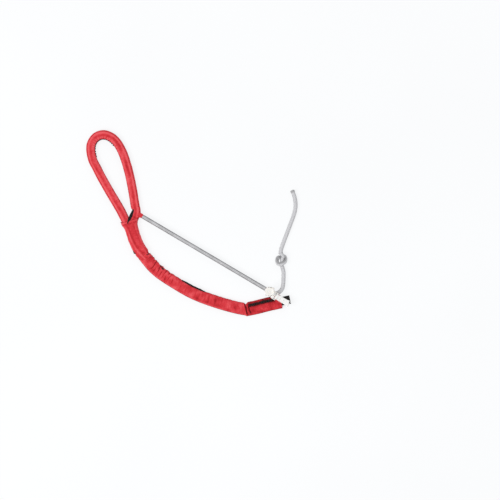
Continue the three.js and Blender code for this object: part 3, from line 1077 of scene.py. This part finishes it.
def make_sewing(strap_points):
    frames = flat_frames(strap_points)
    make_window(strap_points, frames)
    make_seam_thread()
    make_crotch_tack()
    make_edge_webbing(strap_points, frames)
    make_frays(strap_points, frames)


SEAM_STITCHES = [
    ((-54.9, -26.4, 4.6), (-54.2, -28.9, 4.8), 0.55), ((-54.4, -28.0, 5.0), (-53.3, -30.6, 5.0), 0.6),
    ((-53.8, -29.9, 5.2), (-52.2, -30.5, 6.0), 0.35), ((-40.0, -29.6, 5.6), (-39.0, -31.2, 5.4), 0.5),
    ((-41.6, -31.5, 6.2), (-39.6, -31.3, 5.6), 0.36), ((-48.4, -30.6, 6.35), (-47.4, -30.7, 6.4), 0.22),
    ((-44.3, -31.0, 6.3), (-43.4, -31.1, 6.2), 0.22),
]
EDGE_SPECK = [
    ((-28.2, -42.0, 4.4), (-25.9, -44.6, 4.7), 0.5), ((-26.9, -43.7, 4.8), (-24.2, -46.2, 4.8), 0.55),
    ((-26.4, -45.0, 5.2), (-24.6, -46.6, 5.3), 0.4),
]


def stitches_at(name, places):
    threads = [thread_between(Vector(a) * MM, Vector(b) * MM, r * MM, 0.15 * MM, 10) for a, b, r in places]
    return joined(name, threads)


def make_seam_thread():
    """The slanting seam: black stitches that show at both edges and here and there across it."""
    seam = stitches_at("seam_black_stitches", SEAM_STITCHES)
    finish_piece(seam, "black_thread", "handle", ("seam_thread",))
    speck = stitches_at("edge_black_speck", EDGE_SPECK)
    finish_piece(speck, "black_thread", "handle")


def make_crotch_tack():
    """A dense black tack at the foot of the slit, sewn down onto the hem."""
    threads = []
    a = Vector((-58.9, 3.2, 0)) * MM
    b = Vector((-60.4, -0.2, 0)) * MM
    way = (b - a).normalized()
    side = UP.cross(way)
    for i in range(TACK_THREADS):
        spot = a.lerp(b, i / (TACK_THREADS - 1)) + UP * (TACK_HIGH * MM)
        reach = (1.15 - 0.08 * i) * MM
        slant = way * (0.25 * MM * (1 if i % 2 else -1))
        ends = (spot - side * reach - slant, spot + side * reach + slant)
        threads.append(thread_between(*ends, 0.24 * MM, 0.2 * MM))
    tack = joined("crotch_black_tack", threads)
    finish_piece(tack, "black_thread", "handle", ("throat_bartack",))


def make_edge_webbing(points, frames):
    """Where the sleeve's long seam gapes along the strap's upper edge, the black band shows."""
    spots = strap_stretch(points, frames, GAPE_FROM, GAPE_LONG, GAPE_OFFSET, GAPE_HIGH)
    total = route_length(spots)

    def ring(i, s, turn):
        share = s / total
        open_here = math.sin(math.pi * share) ** 0.4 * (0.85 + 0.4 * grain(s * 260, 2.0, 7.0))
        across, high = flattened(turn, 2.0 * open_here + 0.1, 1.6, 3.0)
        return across * MM, high * MM

    strip = tube("gaping_seam_webbing", spots, ring, around=18)
    finish_piece(strip, "black_webbing", "handle")


# place, way, fibres, their length, the tuft's half width, seed
HEM_TUFTS = (
    ((-66.0, 0.2, 3.2), (-0.6, 0.8, 0), 16, 2.0, 0.9, 3),
    ((-65.4, -1.4, 3.2), (-1.0, -0.3, 0), 10, 1.6, 0.7, 4),
    ((-51.4, 4.6, 3.4), (1.0, -0.3, 0), 12, 1.6, 0.8, 5),
)
FIBRE_RADIUS = 0.1


def make_frays(points, frames):
    tufts = [
        fray("fray", Vector(place) * MM, Vector(way), count, length, spread, FIBRE_RADIUS, seed)
        for place, way, count, length, spread, seed in HEM_TUFTS
    ]
    finish_piece(joined("hem_fray", tufts), "red_sleeve", "handle", look="red_thread")
    end = strap_point(points, frames, CREASE_AT + ROOT_LONG, 0, 2.6)
    along = (points[-1] - points[-4]).normalized()
    tuft = fray("root_end_fray", end, along, 34, 1.5, 6.0, 0.09, 8)
    finish_piece(tuft, "red_sleeve", "handle", look="red_thread")


# ---- the lock: lists are mm in its own axes, x along the cord towards the tape ----
def lock_axes():
    low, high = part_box("button_cap")
    centre = (low + high) / 2
    side = UP.cross(SLIDE).normalized()
    turned = Matrix((SLIDE, side, UP)).transposed().to_4x4()
    return Matrix.Translation((centre.x, centre.y, 0)) @ turned @ Matrix.Scale(MM, 4)


def settle(piece, matrix, sharp=38):
    piece.data.transform(matrix)
    piece.data.set_sharp_from_angle(angle=math.radians(sharp))
    return piece


def lathe(name, profile, around=72, closed=True):
    """A solid of revolution about z from a closed list of (radius, height)."""
    turns = [math.tau * k / around for k in range(around)]
    rings = [[Vector((*on_circle(r, turn), z)) for turn in turns] for r, z in profile]
    verts, faces = skin_rings(rings, closed=closed, caps=not closed)
    piece = mesh_object(name, verts, faces)
    outward(piece)
    return piece


def outward(piece):
    """Turns every face outwards."""
    shape = bmesh.new()
    shape.from_mesh(piece.data)
    bmesh.ops.recalc_face_normals(shape, faces=shape.faces)
    shape.to_mesh(piece.data)
    shape.free()


def rounded_block(low, high, radius=0.25):
    shape = bmesh.new()
    bmesh.ops.create_cube(shape, size=1.0)
    low = Vector(low)
    high = Vector(high)
    size = high - low
    for v in shape.verts:
        v.co = Vector([low[i] + (v.co[i] + 0.5) * size[i] for i in range(3)])
    bmesh.ops.bevel(
        shape, geom=list(shape.verts) + list(shape.edges), offset=radius, segments=4, profile=0.5,
        affect="EDGES", clamp_overlap=True,
    )
    mesh = bpy.data.meshes.new("block")
    shape.to_mesh(mesh)
    shape.free()
    mesh.polygons.foreach_set("use_smooth", [True] * len(mesh.polygons))
    piece = bpy.data.objects.new("block", mesh)
    bpy.context.scene.collection.objects.link(piece)
    return piece


def rod(a, b, radius, around=32, end=0.15):
    """A straight round bar with eased ends."""
    a = Vector(a)
    b = Vector(b)
    way = (b - a).normalized()
    points = [a, a + way * end * 0.3, a + way * end, b - way * end, b - way * end * 0.3, b]
    radii = [radius - end, radius - end * 0.3, radius, radius, radius - end * 0.3, radius - end]
    return tube("rod", points, round_ring(radii), carried_frames(points), around)


def cut(piece, cutters):
    """Takes each cutter out of a piece."""
    for cutter in cutters:
        outward(cutter)
        change = piece.modifiers.new("cut", "BOOLEAN")
        change.operation = "DIFFERENCE"
        change.solver = "EXACT"
        change.object = cutter
    seen = bpy.context.evaluated_depsgraph_get()
    mesh = bpy.data.meshes.new_from_object(piece.evaluated_get(seen))
    piece.modifiers.clear()
    piece.data = mesh
    for cutter in cutters:
        bpy.data.objects.remove(cutter)
    return piece


LIP_RADIUS = 0.38
CORD_HOLE = 2.4  # the inlet's radius
OUTLET_STRETCH = 1.25  # the outlet is wider than the inlet, and off to one side
OUTLET_SHIFT = 0.6
# The ear that holds the tape: a bridge, two arms and the bar between them.
EAR_HALF = 3.9
ARM_INSIDE = 3.0
EAR_LOW = 7.65
EAR_HIGH = 8.95
ARM_FROM = 5.8
ARM_HIGH = 8.85
BAR_HIGH = 8.25
BAR_RADIUS = 0.6
RIB_COUNT = 24
RIB_AT = 4.66  # the ribs' distance from the barrel's axis
RIB_CLEAR = 3.3  # ribs nearer to the cord's line than this are left out


def window_lip(sign, middle, half_wide, half_tall):
    """The rolled edge round a cord window, laid on the barrel's curved wall."""
    points = []
    for k in range(65):
        turn = math.tau * k / 64
        y = middle + (half_wide + 0.25) * math.cos(turn)
        z = CORD_HIGH + (half_tall + 0.25) * math.sin(turn)
        points.append(Vector((sign * math.sqrt(max(0.3, BARREL_RADIUS**2 - y * y)), y, z)))
    return tube("lip", points, round_ring([LIP_RADIUS] * len(points)), carried_frames(points), 12)


def make_lock_body(matrix):
    profile = [
        (3.7, 0.3), (3.85, 0.08), (4.1, 0.0), (4.4, 0.05), (4.62, 0.22), (4.7, 0.5), (4.7, 1.05),
        (4.55, 1.2), (4.55, 1.5), (4.7, 1.65), (4.7, 9.6), (4.66, 9.8), (4.5, 9.95), (4.5, 10.25),
        (4.66, 10.4), (4.7, 10.6),
        (4.7, 11.35), (4.6, 11.65), (4.35, 11.8), (4.0, 11.78), (3.78, 11.65), (3.7, 11.4), (3.7, 10.2),
        (2.2, 10.2), (2.05, 10.1), (2.0, 9.95), (2.0, 9.4), (3.7, 9.4), (3.7, 5.0),
    ]
    barrel = lathe("lock_barrel_moulding", profile)
    inlet = rod((-6, 0, CORD_HIGH), (-1.2, 0, CORD_HIGH), CORD_HOLE, 48)
    outlet = rod((1.2, 0, CORD_HIGH), (6, 0, CORD_HIGH), CORD_HOLE, 48)
    for v in outlet.data.vertices:
        v.co.y = v.co.y * OUTLET_STRETCH + OUTLET_SHIFT
    cut(barrel, [inlet, outlet])
    reach = BAR_REACH + BAR_RADIUS
    left = EAR_SIDE - EAR_HALF
    right = EAR_SIDE + EAR_HALF
    pieces = [
        barrel,
        window_lip(-1, 0.0, CORD_HOLE, CORD_HOLE),
        window_lip(1, OUTLET_SHIFT, CORD_HOLE * OUTLET_STRETCH, CORD_HOLE),
        rounded_block((3.6, left, EAR_LOW), (6.6, right, EAR_HIGH), 0.45),
        rounded_block((ARM_FROM, left, EAR_LOW), (reach, EAR_SIDE - ARM_INSIDE, ARM_HIGH), 0.3),
        rounded_block((ARM_FROM, EAR_SIDE + ARM_INSIDE, EAR_LOW), (reach, right, ARM_HIGH), 0.3),
        rod((BAR_REACH, left + 0.2, BAR_HIGH), (BAR_REACH, right - 0.2, BAR_HIGH), BAR_RADIUS, 28),
    ]
    for k in range(RIB_COUNT):
        x, y = on_circle(RIB_AT, math.tau * (k + 0.5) / RIB_COUNT)
        if abs(y) > RIB_CLEAR:
            pieces.append(rod((x, y, 2.1), (x, y, 9.2), 0.24, 10, 0.1))
    body = joined("lock_barrel_moulding", pieces)
    settle(body, matrix)
    finish_piece(body, "cream_plastic", "lock", ("lock_barrel",))


def make_plunger(matrix):
    profile = [
        (0.01, 1.65), (2.9, 1.65), (3.2, 1.75), (3.36, 1.95), (3.4, 2.2), (3.4, 8.6), (3.35, 8.85),
        (3.2, 9.05), (2.9, 9.1), (1.95, 9.1), (1.75, 9.2), (1.7, 9.4), (1.7, 14.7), (1.6, 14.95),
        (1.4, 15.05), (0.01, 15.1),
    ]
    plunger = lathe("lock_plunger", profile, 56, closed=False)
    slot = rounded_block((-5, -2.2, 2.4), (5, 2.2, 8.4), 0.7)
    cut(plunger, [slot])
    settle(plunger, matrix)
    finish_piece(plunger, "cream_plastic", "button", ("lock_yoke",))


CAP_WIDE = 9.2
CAP_DEEP = 8.2
CAP_LOW = 13.6
CAP_TOP = 16.2


def cap_edge(turn):
    """The button's outline: a square with soft corners, and grip ribs on its two long sides."""
    x, y = flattened(turn, CAP_WIDE - 0.2, CAP_DEEP - 0.5, 6.0)
    if abs(y) > CAP_DEEP * 0.34:
        y += math.copysign(0.8 * cap_ribs(x) - 0.35, y)
    return x, y


def cap_ribs(x):
    return sum(dent(x, middle, 0.75) for middle in (-2.6, 0.0, 2.6))


def cap_height(x, y):
    """The thumb rest: a shallow dish inside a rim, with four low grip lines."""
    far = math.sqrt((x / (CAP_WIDE / 2)) ** 2 + (y / (CAP_DEEP / 2)) ** 2)
    dish = -0.4 * (1 - soft_step(0.35, 0.82, far))
    inside = 1 - soft_step(0.5, 0.8, far)
    lines = 0.12 * max(0.0, math.cos(math.tau * y / 1.7)) ** 2 * inside
    return CAP_TOP + dish + lines


def make_button(centre):
    around = 144
    stack = [
        (0.02, CAP_LOW + 0.5), (0.5, CAP_LOW + 0.5), (0.52, CAP_LOW + 0.1), (0.56, CAP_LOW), (0.9, CAP_LOW),
        (0.96, CAP_LOW + 0.06), (0.99, CAP_LOW + 0.2), (1.0, CAP_LOW + 0.45), (1.0, CAP_TOP - 0.75),
        (0.99, CAP_TOP - 0.4), (0.965, CAP_TOP - 0.16), (0.93, CAP_TOP - 0.03),
    ]
    edge = [cap_edge(math.tau * k / around) for k in range(around)]
    rings = []
    shades = []
    for scale, z in stack:
        rings.append([Vector((x * scale, y * scale, z)) for x, y in edge])
        # Painted shade in the gaps between the grip ribs on the long sides.
        shades += [-1.5 * (1 - min(1.0, cap_ribs(x))) * soft_step(2.6, 3.4, abs(y)) for x, y in edge]
    for step in range(1, 25):
        scale = 0.89 * (1 - step / 24) + 0.012
        row = [Vector((x * scale, y * scale, cap_height(x * scale, y * scale))) for x, y in edge]
        rings.append(row)
        # Painted shade in the thumb rest's dish.
        shades += [-0.2 * soft_step(-0.1, -0.5, spot.z - CAP_TOP) for spot in row]
    verts, faces = skin_rings(rings)
    button = mesh_object("lock_button", verts, faces, shades=shades)
    outward(button)
    settle(button, Matrix.Translation(centre) @ Matrix.Scale(MM, 4), 50)
    finish_piece(button, "cream_plastic", "button", ("button_cap",))


SPRING_TURNS = 4.5
SPRING_POINTS = 200
SPRING_LOW = 10.45
SPRING_TALL = 2.85
SPRING_RADIUS = 2.72
WIRE_RADIUS = 0.22


def make_spring(matrix):
    points = []
    for i in range(SPRING_POINTS + 1):
        share = i / SPRING_POINTS
        height = SPRING_LOW + SPRING_TALL * (0.5 * share + 0.5 * soft_step(0.08, 0.92, share))
        points.append(Vector((*on_circle(SPRING_RADIUS, math.tau * SPRING_TURNS * share), height)))
    coil = tube("lock_coil", points, round_ring([WIRE_RADIUS] * len(points)), carried_frames(points), 12)
    settle(coil, matrix, 60)
    finish_piece(coil, "spring_steel", "lock", ("lock_spring",))
    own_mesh(coil)


TAPE_PATH = [
    (22.3, 8.2), (19.0, 8.22), (15.0, 8.16), (12.0, 8.2), (10.6, 8.4), (9.55, 8.94), (8.5, 9.32),
    (7.64, 9.08), (7.22, 8.4), (7.34, 7.7), (7.95, 7.26), (8.9, 7.24), (9.8, 7.47), (10.8, 7.72),
    (12.6, 7.78), (15.5, 7.74), (19.0, 7.8), (21.9, 7.76),
]
TAPE_AROUND = 44


def make_tape(matrix):
    flat = smooth_route([(x, 0.0, z) for x, z in TAPE_PATH], 0.25)
    points = [p / MM for p in flat]
    rings = []
    uvs = []
    for point, way, s in zip(points, tangents(points), lengths_along(points)):
        up = way.cross(Vector((0, 1, 0))).normalized()
        end = soft_step(18.6, 22.2, point.x)
        waist = 5.5 - 0.5 * (1 - soft_step(9.5, 12.5, point.x)) + 1.0 * end
        row = []
        for k in range(TAPE_AROUND):
            turn = math.tau * k / TAPE_AROUND
            across, high = flattened(turn, waist, 0.4, 6.0)
            selvedge = 0.05 * dent(abs(across), waist / 2 - 0.35, 0.25)
            curl = 0.12 * grain(point.x * 0.25, 0.0, 2.0) + 0.16 * end * (across / 3) ** 2
            spot = Vector((point.x, EAR_SIDE + across, point.z)) + up * (high + math.copysign(selvedge, high))
            spot.x += end * (0.35 * grain(across * 1.7, 3.0, 5.0) - 0.22 * across)
            spot.z += curl * soft_step(11, 14, point.x)
            row.append(spot)
            uvs.append((k / TAPE_AROUND, s))
        rings.append(row)
    verts, faces = skin_rings(rings)
    tape = mesh_object("sew_in_tape", verts, faces, uvs)
    outward(tape)
    settle(tape, matrix, 50)
    finish_piece(tape, "white_tape", "tape", ("anchor_tape",))


def make_tape_sewing(matrix):
    """The box stitch on the tape's upper face, and the loose fibres of its cut end."""
    threads = []
    for x in (11.9, 12.5, 13.1, 15.9, 16.5):
        for y in (-2.1, -1.25, -0.4, 0.45, 1.3):
            a = Vector((x, EAR_SIDE + y, 8.45))
            b = Vector((x + 0.2, EAR_SIDE + y + 0.75, 8.45))
            threads.append(thread_between(a, b, 0.1, 0.06))
    for y in (-2.15, 2.15):
        x = 12.0
        while x < 16.0:
            ends = [Vector((x + past, EAR_SIDE + y, 8.43)) for past in (0, 0.95)]
            threads.append(thread_between(*ends, 0.13, 0.1))
            x += 1.25
    tack = joined("tape_box_stitch", threads)
    settle(tack, matrix, 60)
    finish_piece(tack, "white_tape", "tape", ("tape_stitch",))

    tuft = fray("tape_end_fray", matrix @ Vector((22.3, EAR_SIDE, 8.0)), SLIDE, 30, 1.3, 2.7, 0.07, 11)
    finish_piece(tuft, "white_tape", "tape")


def make_lock():
    matrix = lock_axes()
    make_lock_body(matrix)
    make_plunger(matrix)
    make_button(Vector((matrix.translation.x, matrix.translation.y, 0)))
    make_spring(matrix)
    make_tape(matrix)
    make_tape_sewing(matrix)


TAB_WIDE = 4.2
TAB_THICK = 5.2
# How far along the cord from the tab's middle each of its rings is, and its share of the full size.
TAB_RINGS = (
    (-3.0, 0.72), (-2.4, 0.86), (-1.6, 0.94), (-0.8, 0.98), (0.0, 1.0), (0.8, 1.0), (1.4, 0.96),
    (1.8, 0.86), (2.05, 0.68), (2.15, 0.45),
)


def make_cord_tab():
    """A strip of sleeve cloth folded over the cord's near end and sewn into the throat."""
    low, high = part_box("cord_tab")
    centre = (low + high) / 2
    points = [centre + SLIDE * (past * MM) for past, _ in TAB_RINGS]

    def ring(i, s, turn):
        full = TAB_RINGS[i][1]
        across, high_up = flattened(turn, TAB_WIDE * (0.6 + 0.4 * full), TAB_THICK * full, 3.4)
        fold = 0.16 * math.sin(3 * turn + 0.5 * i) + 0.12 * grain(i * 0.7, 2 * math.cos(turn), 4.0)
        return (across + fold) * MM, (high_up + fold) * MM

    tab = tube("cord_tab_fold", points, ring, around=36)
    finish_piece(tab, "red_sleeve", "handle", ("cord_tab",))


def build():
    make_camera()
    materials.update(make_materials())
    make_cords()
    make_cord_tab()
    make_loop()
    make_throat()
    strap_points = make_strap()
    make_webbing()
    make_sewing(strap_points)
    make_lock()
    make_floor()
    make_lights()


build()
